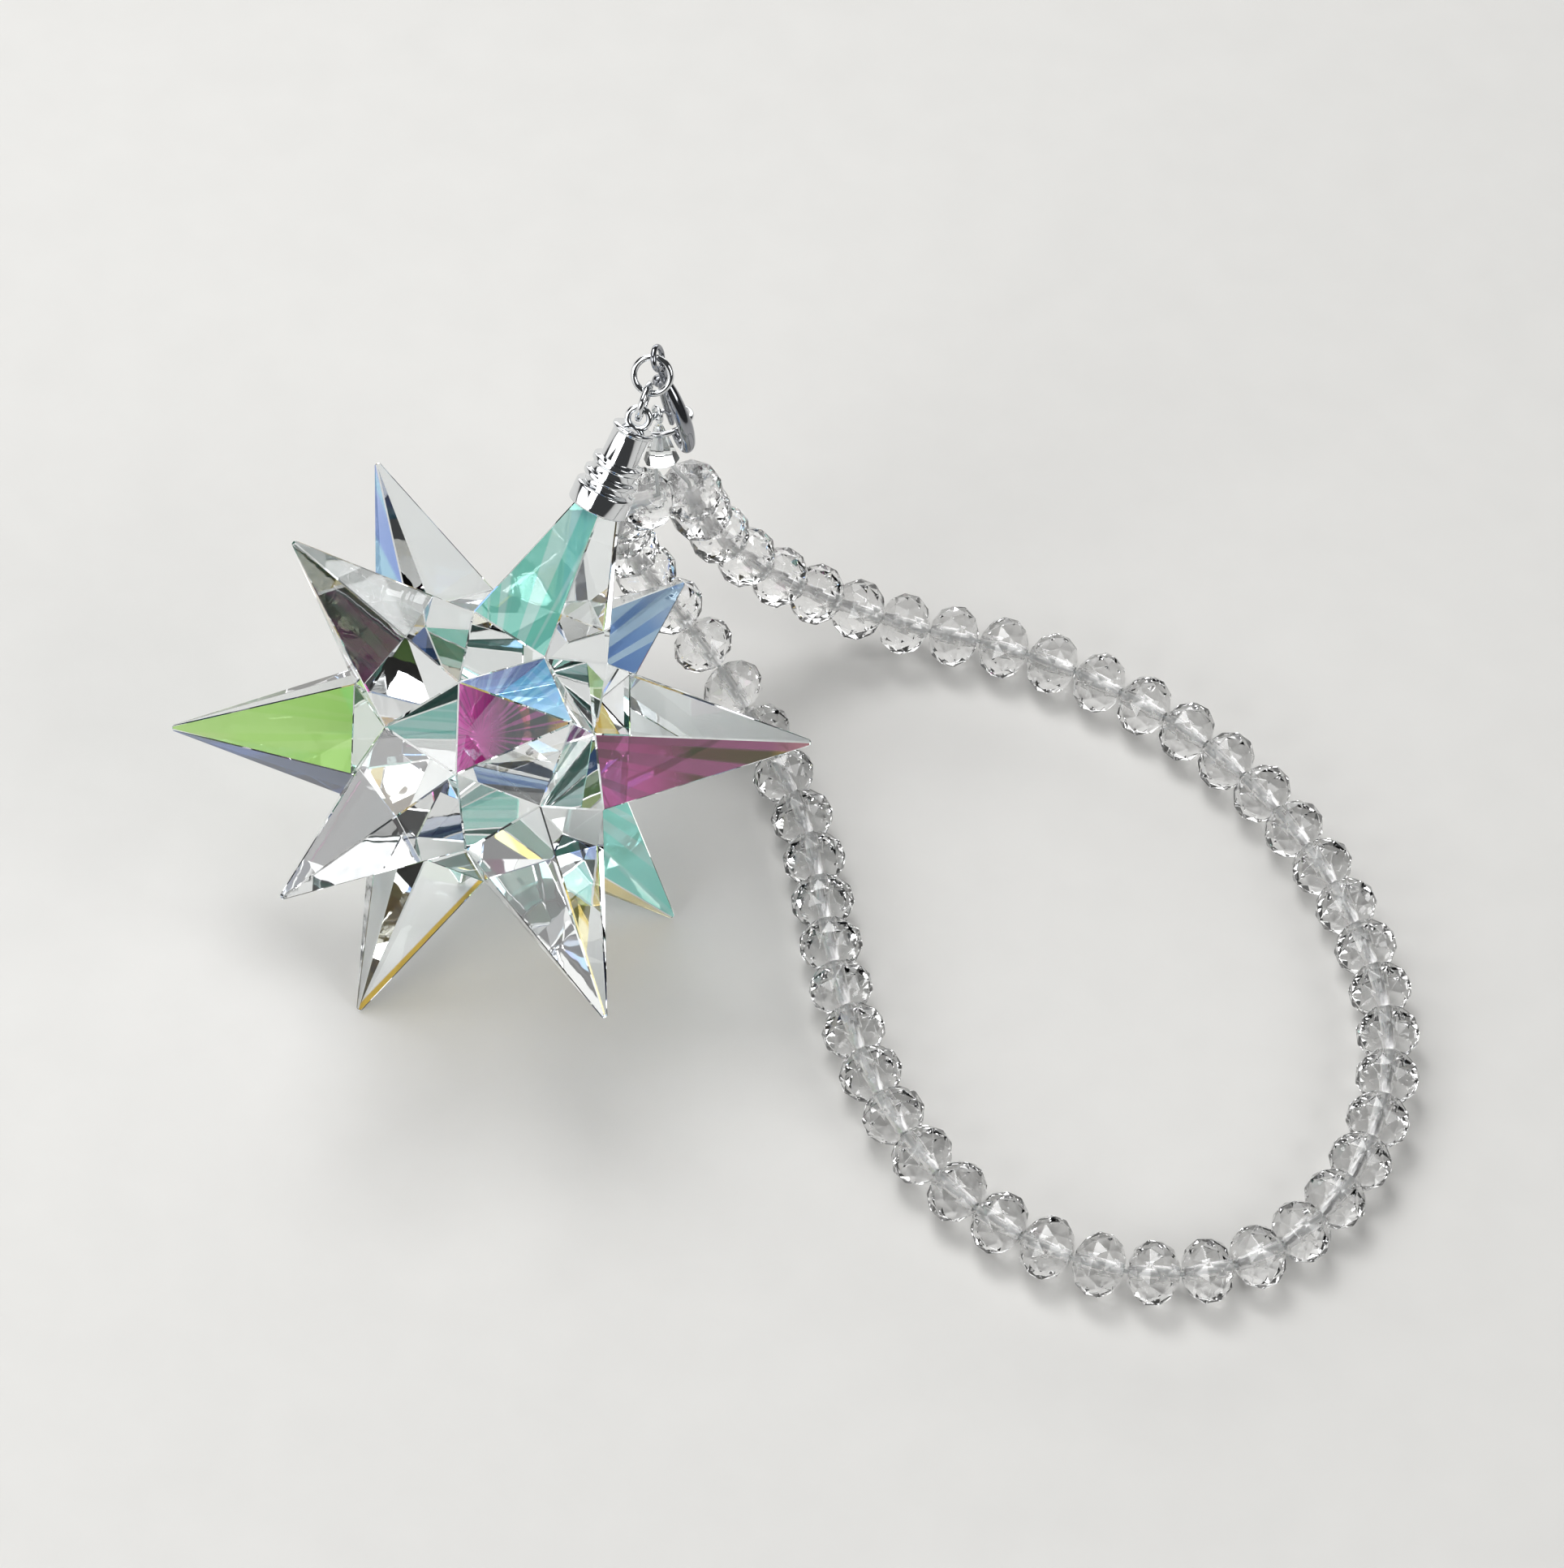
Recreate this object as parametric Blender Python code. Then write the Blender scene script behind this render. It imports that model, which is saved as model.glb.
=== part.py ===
# Crystal suncatcher: a clear twelve-spiked star with a chrome cap, rings and a lobster clasp,
# on a strand of clear faceted rondelle beads. It lies as it does on a table: the star on three
# of its spikes, the strand in a loop beside it. Metres, +Z up.

import bmesh
import bpy
from math import atan2, cos, isclose, pi, radians, sin, sqrt, tau
from mathutils import Vector

# Clear space between pieces that touch
gap = 0.0003

# Flat sides that stand for each round shape
capSides = 20
ringSteps = 20
eyeSteps = 16
wireSides = 8
coneSides = 10
knobSides = 10
curveSteps = 24
smoothAngle = radians(35)

# Star: distances are from its centre
starReach = 0.0394
coreRadius = 0.0176
tipWidth = 0.0008
starTurn = radians(57.3)

# Cap, turned in one piece with its eyelet. It is glued over the end of one spike.
capSeat = 0.0318
spikeWidthAtCap = 0.0061
capWall = 0.00035
cupDepth = 0.0025
flangeHeight = 0.0027
grooveHeight = 0.0009
ribHeight = 0.0010
grooveRadius = 0.0028
lowerRibRadius = 0.0034
upperRibRadius = 0.0031
neckRadius = 0.0023
neckLength = 0.0033
rimRadius = 0.0026
rimHeight = 0.0007
eyeletRadius = 0.0013
eyeletWire = 0.0008
eyeletSink = 0.00008

# Rings, measured to the middle of the wire
jumpRingRadius = 0.0022
jumpRingWire = 0.0008
endRingRadius = 0.0029
endRingWire = 0.0007

# Lobster clasp. Its shapes are (along, across, thickness): in parts of its length from the eye,
# of half its width with the hook's mouth on the minus side, and of the bar or lever's wire.
claspLength = 0.0150
claspWidth = 0.0048
claspBar = 0.0017
claspEyeRadius = 0.00135
claspEyeWire = 0.0007
barShape = [
    (0.22, 0, 0.65), (0.40, 0.34, 1.0), (0.66, 0.60, 1.1), (0.86, 0.34, 1.0),
    (0.97, -0.12, 0.9), (1.0, -0.55, 0.8), (0.97, -0.95, 0.7), (0.89, -1.20, 0.55),
]
leverWire = 0.0011
leverShape = [(0.30, -0.62, 1.0), (0.45, -0.85, 1.0), (0.62, -1.02, 0.9)]
leverTip = (-1.16, 0.6)
leverTipSlant = 0.00022
knobWidth = 0.0016
knobPlace = (0.33, -0.66)
knobShape = [(0, 0.25), (0.2, 0.45), (0.5, 0.5), (0.8, 0.4), (1.0, 0.2)]
hookHold = (0.80, -0.42)

# Clear cone that the two ends of the strand go into
coneLength = 0.0052
coneWidth = 0.0044
coneTip = 0.0012
coneEdge = 0.0003
coneEyeRadius = 0.00095
coneEyeWire = 0.0005
bareLine = 0.0040
lineSpread = 0.00088

# Beads
beadDiameter = 0.0080
beadLength = 0.0061
beadSlack = 0.0005
beadTable = 0.0028
beadBore = 0.0013
beadGirdle = 0.0024
beadSides = 8
beadSpin = radians(137.5)
lineWidth = 0.0005
beadCount = 53
beadPairs = 4
strandTail = 0.0030

# Which way the pieces of the hanger point, as the thing lies
eyeletFaces = Vector((-0.11, -0.81, 0.57))
ringsPoint = Vector((0.16, 0.27, 0.95))
claspPoints = Vector((0.33, -0.18, -0.93))
endRingPoints = Vector((-0.49, 0.74, -0.47))
conePoints = Vector((0.15, -0.28, -0.95))
lineEndsPoint = Vector((1, 0.6, 0))
beadTurnsFrom = Vector((0.3, 0.2, 1))

# The strand's route, in fortieths of the star's reach from the point below its centre: across,
# away and height above where a bead rests. It starts and ends under the cone. Past loopStart
# the loop lies as wide as its fixed number of beads needs.
loopStart = 44
routeUnit = starReach / 40
route = [
    (14.2, 28.4, 41.5), (13.0, 30.2, 36.4), (12.5, 32.9, 30.0), (13.7, 35.2, 23.6),
    (16.7, 36.2, 17.3), (20.9, 35.4, 11.7), (25.8, 32.6, 7.0), (30.6, 28.2, 3.2),
    (34.8, 22.6, 1.0), (38.5, 16.2, 0), (41.2, 9.2, 0), (44.3, -6.5, 0), (48.2, -19.4, 0),
    (53.4, -30.8, 0), (61.8, -41.4, 0), (73.1, -48.3, 0), (86.0, -51.0, 0), (98.8, -47.9, 0),
    (108.2, -39.1, 0), (114.0, -26.2, 0), (115.8, -12.4, 0), (112.6, 1.0, 0), (107.0, 12.9, 0),
    (99.2, 23.9, 0), (89.6, 33.0, 0), (78.3, 39.8, 0), (65.6, 44.3, 0), (58.8, 45.4, 0),
    (52.4, 45.7, 0.4), (46.2, 45.6, 2.4), (40.3, 44.9, 5.4), (35.4, 43.5, 9.5),
    (30.6, 42.1, 14.1), (26.5, 41.0, 19.2), (23.3, 40.0, 24.8), (21.5, 38.3, 30.9),
    (20.8, 35.8, 36.8), (20.8, 34.6, 39.6),
]


# Materials

def material(name, colour, roughness, metallic=0.0, transmission=0.0):
    made = bpy.data.materials.new(name)
    made.use_nodes = True
    shader = made.node_tree.nodes["Principled BSDF"]
    shader.inputs["Base Color"].default_value = (*colour, 1.0)
    shader.inputs["Roughness"].default_value = roughness
    shader.inputs["Metallic"].default_value = metallic
    shader.inputs["Transmission Weight"].default_value = transmission
    made.diffuse_color = (*colour, 1.0)
    return made


# Shapes: each is one closed body made from rings of points

def addObject(name, data, finish):
    data.materials.append(finish)
    thing = bpy.data.objects.new(name, data)
    bpy.context.scene.collection.objects.link(thing)
    thing.parent = bpy.data.objects["suncatcher"]
    return thing


def meshFrom(name, points, faces):
    mesh = bpy.data.meshes.new(name)
    mesh.from_pydata([tuple(p) for p in points], [], faces)
    shape = bmesh.new()
    shape.from_mesh(mesh)
    bmesh.ops.recalc_face_normals(shape, faces=shape.faces)
    shape.to_mesh(mesh)
    shape.free()
    return mesh


def loft(name, rings, closed=False):
    # Joins each ring to the next. An open loft has a face over each end.
    sides = len(rings[0])
    points = [p for ring in rings for p in ring]
    faces = []
    last = len(rings) if closed else len(rings) - 1
    for i in range(last):
        a = i * sides
        b = (i + 1) % len(rings) * sides
        for j in range(sides):
            k = (j + 1) % sides
            faces.append((a + j, a + k, b + k, b + j))
    if not closed:
        faces.append(tuple(range(sides)))
        faces.append(tuple(range((len(rings) - 1) * sides, len(rings) * sides)))
    return meshFrom(name, points, faces)


def axes(along, near):
    # Two directions square to along, the first as near as can be to the one given
    along = along.normalized()
    first = (near - near.dot(along) * along).normalized()
    return first, along.cross(first)


def squareTo(direction, axis):
    return axes(axis, direction)[0]


def circle(centre, first, second, radius, sides, turn=0.0):
    ring = []
    for i in range(sides):
        angle = turn + tau * i / sides
        ring.append(centre + radius * (cos(angle) * first + sin(angle) * second))
    return ring


def turned(name, base, along, profile, sides):
    # Profile: (height, radius) from the base up the axis
    first, second = axes(along, Vector((1, 0, 0)))
    rings = [circle(base + height * along, first, second, radius, sides) for height, radius in profile]
    return loft(name, rings)


def wireRing(name, centre, facing, radius, wire, steps):
    first, second = axes(facing, Vector((0, 0, 1)))
    rings = []
    for i in range(steps):
        angle = tau * i / steps
        outward = cos(angle) * first + sin(angle) * second
        rings.append(circle(centre + radius * outward, outward, facing.normalized(), wire / 2, wireSides))
    return loft(name, rings, closed=True)


def taperedTube(name, path, widths, flat):
    # A bar along a path in the plane that flat is square to
    rings = []
    for i, point in enumerate(path):
        before = path[max(i - 1, 0)]
        after = path[min(i + 1, len(path) - 1)]
        first, second = axes(after - before, flat)
        rings.append(circle(point, first, second, widths[i] / 2, wireSides))
    return loft(name, rings)


def joinTo(thing, mesh, finish):
    # The mesh becomes part of the one body
    tool = addObject(f"{thing.name}_add", mesh, finish)
    tool.hide_render = True
    tool.display_type = "WIRE"
    union = thing.modifiers.new("join", "BOOLEAN")
    union.operation = "UNION"
    union.solver = "EXACT"
    union.object = tool


def smooth(thing):
    thing.data.shade_smooth()
    thing.data.set_sharp_from_angle(angle=smoothAngle)


# Star

def spikeAxes():
    # The corners of an icosahedron that stands on a face: three low, three by three, three high
    highZ = sqrt((5 + 2 * sqrt(5)) / 15)
    middleZ = sqrt((5 - 2 * sqrt(5)) / 15)
    found = []
    for height, turn in ((highZ, 0), (middleZ, pi / 3), (-middleZ, 0), (-highZ, pi / 3)):
        flat = sqrt(1 - height * height)
        for i in range(3):
            angle = starTurn + turn + i * tau / 3
            found.append(Vector((flat * cos(angle), flat * sin(angle), height)))
    return found


def ordered(corners, points, axis):
    # The corners in turn round the axis
    first, second = axes(axis, points[corners[0]])
    return sorted(corners, key=lambda c: atan2(points[c].dot(second), points[c].dot(first)))


def makeStar(centre, spikes, finish):
    # The core has a corner between each two neighbouring spikes
    count = len(spikes)
    pairs = []
    for i in range(count):
        for j in range(i + 1, count):
            if isclose(spikes[i].dot(spikes[j]), 1 / sqrt(5), rel_tol=0.001):
                pairs.append((i, j))
    points = [(spikes[i] + spikes[j]).normalized() * coreRadius for i, j in pairs]
    baseDistance = points[0].dot(spikes[pairs[0][0]])
    baseWidth = (points[0] - spikes[pairs[0][0]] * baseDistance).length
    faces = []
    for i, axis in enumerate(spikes):
        if i == 0:
            # The capped spike is cut off inside the cup and tapers to fit it
            end = capSeat + cupDepth - gap
            slope = (baseWidth - spikeWidthAtCap / 2) / (capSeat - baseDistance)
            endWidth = spikeWidthAtCap / 2 - slope * (end - capSeat)
        else:
            end = starReach
            endWidth = tipWidth / 2
        base = ordered([c for c, pair in enumerate(pairs) if i in pair], points, axis)
        top = range(len(points), len(points) + len(base))
        for corner in base:
            points.append(axis * end + (points[corner] - axis * baseDistance) * (endWidth / baseWidth))
        for k in range(len(base)):
            m = (k + 1) % len(base)
            faces.append((base[k], base[m], top[m], top[k]))
        faces.append(tuple(top))
    for i, j in pairs:
        for k in range(j + 1, count):
            if (i, k) in pairs and (j, k) in pairs:
                faces.append(tuple(pairs.index(pair) for pair in ((i, j), (j, k), (i, k))))
    addObject("star", meshFrom("star", [centre + p for p in points], faces), finish)


# Cap and hanger

def capLength():
    ribs = 2 * ribHeight + 2.5 * grooveHeight
    return flangeHeight + ribs + neckLength + rimHeight


def makeCap(seat, axis, eyeletCentre, finish):
    cupRadius = spikeWidthAtCap / 2 + gap
    flangeRadius = cupRadius + capWall
    top = capLength()
    lowerRib = flangeHeight + grooveHeight
    upperRib = lowerRib + ribHeight + grooveHeight
    neck = upperRib + ribHeight + grooveHeight / 2
    edge = capWall / 2
    profile = [
        (cupDepth, cupRadius - capWall), (edge, cupRadius), (0, cupRadius + edge),
        (edge, flangeRadius), (flangeHeight - edge, flangeRadius), (flangeHeight, flangeRadius - edge),
        (flangeHeight + edge, grooveRadius), (lowerRib, grooveRadius),
        (lowerRib + edge, lowerRibRadius), (lowerRib + ribHeight - edge, lowerRibRadius),
        (lowerRib + ribHeight, grooveRadius), (upperRib, grooveRadius),
        (upperRib + edge, upperRibRadius), (upperRib + ribHeight - edge, upperRibRadius),
        (upperRib + ribHeight, neckRadius), (neck, neckRadius), (neck + neckLength, neckRadius),
        (neck + neckLength + edge, rimRadius), (top - edge, rimRadius), (top, rimRadius - 2 * edge),
    ]
    cap = addObject("cap", turned("cap", seat, axis, profile, capSides), finish)
    facing = squareTo(eyeletFaces, axis)
    joinTo(cap, wireRing("eyelet", eyeletCentre, facing, eyeletRadius, eyeletWire, eyeSteps), finish)
    smooth(cap)


def addRing(name, centre, facing, radius, wire, finish):
    ring = addObject(name, wireRing(name, centre, facing, radius, wire, ringSteps), finish)
    smooth(ring)


def makeClasp(eye, down, across, ringFacing, finish):
    # Gives back where the end ring's wire lies in the hook, and what the clasp's plane is square to
    flat = down.cross(across)
    low = claspLength - claspBar / 2
    bend = claspWidth / 2

    def place(along, aside):
        return eye + along * low * down + aside * bend * across

    bar = [eye + claspEyeRadius * down] + [place(along, aside) for along, aside, _ in barShape]
    barWidths = [claspBar * thickness for _, _, thickness in barShape[:1] + barShape]
    body = addObject("clasp_body", taperedTube("bar", bar, barWidths, flat), finish)
    joinTo(body, wireRing("clasp_eye", eye, ringFacing, claspEyeRadius, claspEyeWire, eyeSteps), finish)
    smooth(body)

    # The lever shuts the hook's mouth, with a knob for the thumb near the eye
    mouth, _, mouthThickness = barShape[-1]
    shut = mouth * low - mouthThickness * claspBar / 2 - gap - leverTipSlant
    tipAcross, tipThickness = leverTip
    lever = [place(along, aside) for along, aside, _ in leverShape] + [place(shut / low, tipAcross)]
    leverWidths = [leverWire * thickness for _, _, thickness in leverShape]
    leverWidths.append(leverWire * tipThickness)
    piece = addObject("clasp_lever", taperedTube("lever", lever, leverWidths, flat), finish)
    knobProfile = [(height * knobWidth, radius * knobWidth) for height, radius in knobShape]
    joinTo(piece, turned("knob", place(*knobPlace), -across, knobProfile, knobSides), finish)
    smooth(piece)
    return place(*hookHold), flat


# Strand

def curvePoints(points):
    # A smooth curve that follows the route's points and rounds its corners
    points = [points[0]] * 2 + points + [points[-1]] * 2
    found = []
    for i in range(len(points) - 3):
        p, q, r, s = points[i:i + 4]
        for k in range(curveSteps):
            t = k / curveSteps
            first = (1 - t) ** 3
            second = 3 * t ** 3 - 6 * t ** 2 + 4
            third = -3 * t ** 3 + 3 * t ** 2 + 3 * t + 1
            found.append((first * p + second * q + third * r + t ** 3 * s) / 6)
    found.append(points[-1])
    return found


def evenSteps(points, step):
    # Points along the curve, each one step from the last in a straight line
    found = [points[0]]
    i = 0
    while i < len(points) - 1:
        here = found[-1]
        if (points[i + 1] - here).length < step:
            i += 1
            continue
        start = points[i]
        reach = points[i + 1] - start
        low = 0.0
        high = 1.0
        for _ in range(40):
            middle = (low + high) / 2
            if (start + reach * middle - here).length < step:
                low = middle
            else:
                high = middle
        found.append(start + reach * high)
    return found


def beadMesh(name, ends, turn):
    # One bead between each end and the next. Beads joined in one body share a face at the hole.
    count = len(ends) - 1
    rings = []
    bores = []
    phase = turn
    for i in range(count):
        along = (ends[i + 1] - ends[i]).normalized()
        first, second = axes(along, beadTurnsFrom)
        middle = (ends[i] + ends[i + 1]) / 2
        if i == 0:
            start = middle - along * beadLength / 2
            rings.append(circle(start, first, second, beadTable / 2, beadSides, phase))
            bores.append(circle(start, first, second, beadBore / 2, beadSides, phase))
        near = middle - along * beadGirdle / 2
        far = middle + along * beadGirdle / 2
        rings.append(circle(near, first, second, beadDiameter / 2, beadSides, phase))
        phase += pi / beadSides
        rings.append(circle(far, first, second, beadDiameter / 2, beadSides, phase))
        last = i == count - 1
        stop = middle + along * beadLength / 2 if last else ends[i + 1]
        rings.append(circle(stop, first, second, beadTable / 2, beadSides, phase))
        bores.append(circle(stop, first, second, beadBore / 2, beadSides, phase if last else turn))
    loops = rings + bores[::-1]
    points = [p for ring in loops for p in ring]
    faces = []
    for i in range(len(loops)):
        a = i * beadSides
        b = (i + 1) % len(loops) * beadSides
        for j in range(beadSides):
            k = (j + 1) % beadSides
            faces.append((a + j, a + k, b + j))
            faces.append((a + k, b + k, b + j))
    return meshFrom(name, points, faces)


def routeCurve(first, restHeight, widen):
    points = [first]
    for across, away, height in route:
        if across > loopStart:
            across = loopStart + (across - loopStart) * widen
        points.append(Vector((across * routeUnit, away * routeUnit, restHeight + height * routeUnit)))
    return curvePoints(points)


def fittedRoute(first, restHeight):
    # Halves the range of widths until the curve is as long as the beads and the tail
    needed = beadCount * (beadLength + beadSlack) + strandTail
    narrow = 0.2
    wide = 4.0
    for _ in range(40):
        widen = (narrow + wide) / 2
        points = routeCurve(first, restHeight, widen)
        if sum((b - a).length for a, b in zip(points, points[1:])) < needed:
            narrow = widen
        else:
            wide = widen
    return points


def makeStrand(start, end, out, restHeight, beadFinish, lineFinish):
    curve = fittedRoute(start + out * bareLine, restHeight)
    knots = evenSteps(curve, beadLength + beadSlack)[:beadCount + 1]
    number = 0
    k = 0
    while k < beadCount:
        size = 2 if number < beadPairs else 1
        number += 1
        name = f"bead_{number:02d}" if size == 1 else f"bead_pair_{number:02d}"
        addObject(name, beadMesh(name, knots[k:k + size + 1], number * beadSpin), beadFinish)
        k += size
    makeLine([start] + knots + [end], lineFinish)


def makeLine(points, finish):
    curve = bpy.data.curves.new("line", "CURVE")
    curve.dimensions = "3D"
    spline = curve.splines.new("POLY")
    spline.points.add(len(points) - 1)
    for spot, point in zip(spline.points, points):
        spot.co = (*point, 1)
    curve.bevel_depth = lineWidth / 2
    curve.bevel_resolution = 2
    curve.use_fill_caps = True
    addObject("line", curve, finish)


def centreOnBox(whole):
    # The origin is under the middle of the part's box
    bpy.context.view_layer.update()
    corners = []
    for thing in whole.children:
        if not thing.hide_render:
            corners += [thing.matrix_world @ Vector(c) for c in thing.bound_box]
    low = Vector([min(c[i] for c in corners) for i in range(3)])
    high = Vector([max(c[i] for c in corners) for i in range(3)])
    whole.location = -Vector(((low.x + high.x) / 2, (low.y + high.y) / 2, low.z))


def makeSuncatcher():
    for old in list(bpy.data.objects):
        bpy.data.objects.remove(old)
    whole = bpy.data.objects.new("suncatcher", None)
    bpy.context.scene.collection.objects.link(whole)

    crystal = material("crystal", (0.90, 0.95, 0.97), 0.02, transmission=1.0)
    beadCrystal = material("bead_crystal", (0.93, 0.95, 0.96), 0.03, transmission=1.0)
    coneCrystal = material("cone_crystal", (0.93, 0.95, 0.95), 0.05, transmission=1.0)
    chrome = material("chrome", (0.80, 0.81, 0.83), 0.06, metallic=1.0)
    wire = material("ring_wire", (0.78, 0.79, 0.80), 0.10, metallic=1.0)
    claspMetal = material("clasp_metal", (0.62, 0.63, 0.66), 0.08, metallic=1.0)
    nylon = material("nylon", (0.86, 0.88, 0.88), 0.25, transmission=0.6)

    # The star stands on the edges of its three lowest tips
    spikes = spikeAxes()
    lowest = spikes[-1].z
    centre = Vector((0, 0, -lowest * starReach + sqrt(1 - lowest * lowest) * tipWidth / 2))
    makeStar(centre, spikes, crystal)

    axis = spikes[0]
    seat = centre + axis * capSeat
    eyeletCentre = seat + axis * (capLength() + eyeletRadius - eyeletSink)
    makeCap(seat, axis, eyeletCentre, chrome)

    # Each ring hangs on the one before, with clear space round the wire
    facing = squareTo(eyeletFaces, axis)
    up = squareTo(ringsPoint, facing)
    sideways = facing.cross(up)
    firstCentre = eyeletCentre + up * jumpRingRadius
    addRing("jump_ring_1", firstCentre, sideways, jumpRingRadius, jumpRingWire, wire)
    hold = firstCentre + up * (jumpRingRadius - jumpRingWire - gap)
    secondCentre = hold + up * jumpRingRadius
    addRing("jump_ring_2", secondCentre, facing, jumpRingRadius, jumpRingWire, wire)
    eye = secondCentre + up * jumpRingRadius

    down = claspPoints.normalized()
    across = -squareTo(endRingPoints, down)
    hookPlace, flat = makeClasp(eye, down, across, squareTo(sideways, down), claspMetal)
    toCone = squareTo(endRingPoints, flat)
    endRingCentre = hookPlace + toCone * endRingRadius
    addRing("end_ring", endRingCentre, flat.cross(toCone), endRingRadius, endRingWire, wire)

    coneEye = hookPlace + toCone * 2 * endRingRadius
    coneDown = conePoints.normalized()
    addRing("cone_eye", coneEye, squareTo(flat, coneDown), coneEyeRadius, coneEyeWire, wire)
    apex = coneEye + coneDown * (coneEyeRadius + coneEyeWire / 2 + gap)
    profile = [
        (0, (coneTip - coneEdge) / 2), (coneEdge, coneTip / 2),
        (coneLength - coneEdge, coneWidth / 2), (coneLength, coneWidth / 2 - coneEdge),
    ]
    addObject("cone", turned("cone", apex, coneDown, profile, coneSides), coneCrystal)

    # The line's two ends meet the cone's base side by side
    base = apex + coneDown * (coneLength + gap + lineWidth / 2)
    aside = squareTo(lineEndsPoint, coneDown) * lineSpread
    makeStrand(base - aside, base + aside, coneDown, beadDiameter / 2, beadCrystal, nylon)
    centreOnBox(whole)


makeSuncatcher()
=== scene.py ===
from math import atan2, cos, isclose, pi, radians, sin, sqrt, tau

import bmesh
import bpy
from mathutils import Matrix, Vector


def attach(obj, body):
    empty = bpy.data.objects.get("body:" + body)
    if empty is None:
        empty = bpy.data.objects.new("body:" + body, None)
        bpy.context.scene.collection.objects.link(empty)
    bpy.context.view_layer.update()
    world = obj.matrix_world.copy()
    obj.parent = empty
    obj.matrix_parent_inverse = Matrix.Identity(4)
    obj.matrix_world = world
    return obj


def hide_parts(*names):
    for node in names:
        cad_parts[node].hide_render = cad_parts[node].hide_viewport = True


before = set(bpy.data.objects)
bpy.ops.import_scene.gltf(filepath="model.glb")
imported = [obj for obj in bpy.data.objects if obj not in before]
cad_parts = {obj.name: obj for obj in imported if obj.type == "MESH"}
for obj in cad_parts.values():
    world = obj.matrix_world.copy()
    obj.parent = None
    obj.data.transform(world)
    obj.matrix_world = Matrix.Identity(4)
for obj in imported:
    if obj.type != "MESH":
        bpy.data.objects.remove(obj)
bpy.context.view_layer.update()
scene = bpy.context.scene
print("loaded", len(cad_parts), "nodes")


# Shapes are built from rings of points, in metres

def axesOf(along, near):  # two directions square to along, the first as near as can be to near
    along = along.normalized()
    first = (near - near.dot(along) * along).normalized()
    return first, along.cross(first)


def squareTo(direction, axis):
    return axesOf(axis, direction)[0]


def ringOf(centre, first, second, radius, sides, turn=0.0):
    ring = []
    for i in range(sides):
        angle = turn + tau * i / sides
        ring.append(centre + radius * (cos(angle) * first + sin(angle) * second))
    return ring


def addShell(shape, rings, closed=False):
    # Joins each ring to the next; an open shell has a face over each end
    loops = [[shape.verts.new(p) for p in ring] for ring in rings]
    sides = len(loops[0])
    for i in range(len(loops) if closed else len(loops) - 1):
        a = loops[i]
        b = loops[(i + 1) % len(loops)]
        for j in range(sides):
            k = (j + 1) % sides
            shape.faces.new((a[j], a[k], b[k], b[j]))
    if not closed:
        shape.faces.new(loops[0])
        shape.faces.new(loops[-1])


def turnedRings(base, along, profile, sides):  # the profile is (height, radius) up the axis
    first, second = axesOf(along, Vector((1, 0, 0)))
    return [ringOf(base + height * along, first, second, radius, sides) for height, radius in profile]


def wireRings(centre, facing, radius, wire, cut=0.0, steps=72, sides=20):
    # A round of wire. A cut one is left open by a slit that wide.
    first, second = axesOf(facing, Vector((0, 0, 1)))
    slit = cut / radius
    rings = []
    for i in range(steps):
        angle = slit / 2 + (tau - slit) * i / (steps - 1) if cut else tau * i / steps
        outward = cos(angle) * first + sin(angle) * second
        rings.append(ringOf(centre + radius * outward, outward, facing.normalized(), wire / 2, sides))
    return rings


def softCorners(profile, size):  # trades each corner of the profile for a short curve
    share = 2.2  # a curve takes at most a side divided by this, so that two never meet
    spots = [Vector(spot) for spot in profile]
    found = [spots[0]]
    for a, b, c in zip(spots, spots[1:], spots[2:]):
        start = b + (a - b).normalized() * min(size, (a - b).length / share)
        stop = b + (c - b).normalized() * min(size, (c - b).length / share)
        for t in (0, 0.33, 0.67, 1):
            found.append((1 - t) ** 2 * start + 2 * t * (1 - t) * b + t ** 2 * stop)
    return found + [spots[-1]]


def barRings(points, widths, flat, steps=8, sides=24):
    # A cast bar: a smooth curve through the points, as thick as the widths say, with blunt ends
    endWidth = 0.62  # of the full thickness, which is reached a quarter of it from the end
    widening = 1.6
    spots = [(*p, w) for p, w in zip(points, widths)]
    spots = [Vector(spot) for spot in [spots[0]] + spots + [spots[-1]]]
    path = []
    for p, q, r, s in zip(spots, spots[1:], spots[2:], spots[3:]):
        for i in range(steps):
            t = i / steps
            bend = (2 * p - 5 * q + 4 * r - s) * t ** 2 + (3 * q - 3 * r + s - p) * t ** 3
            path.append((2 * q + (r - p) * t + bend) / 2)
    path.append(spots[-1])
    rings = []
    for i, spot in enumerate(path):
        before = path[max(i - 1, 0)].xyz
        after = path[min(i + 1, len(path) - 1)].xyz
        first, second = axesOf(after - before, flat)
        toEnd = min((spot.xyz - path[0].xyz).length, (spot.xyz - path[-1].xyz).length)
        blunt = min(1, endWidth + widening * toEnd / spot.w)
        rings.append(ringOf(spot.xyz, first, second, spot.w / 2 * blunt, sides))
    return rings


def makePiece(name, shape, finishes, node, smooth=None, place=None):
    # Smooth is the angle in degrees up to which an edge is shaded over
    bmesh.ops.recalc_face_normals(shape, faces=shape.faces)
    mesh = bpy.data.meshes.new(name)
    shape.to_mesh(mesh)
    shape.free()
    for finish in finishes:
        mesh.materials.append(finish)
    if smooth:
        mesh.shade_smooth()
        mesh.set_sharp_from_angle(angle=radians(smooth))
    piece = bpy.data.objects.new(name, mesh)
    if place:
        piece.location = place
    scene.collection.objects.link(piece)
    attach(piece, "root")
    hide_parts(node)


def makeShell(name, rings, finish, node, smooth, closed=False):
    shape = bmesh.new()
    addShell(shape, rings, closed)
    makePiece(name, shape, [finish], node, smooth)


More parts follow.
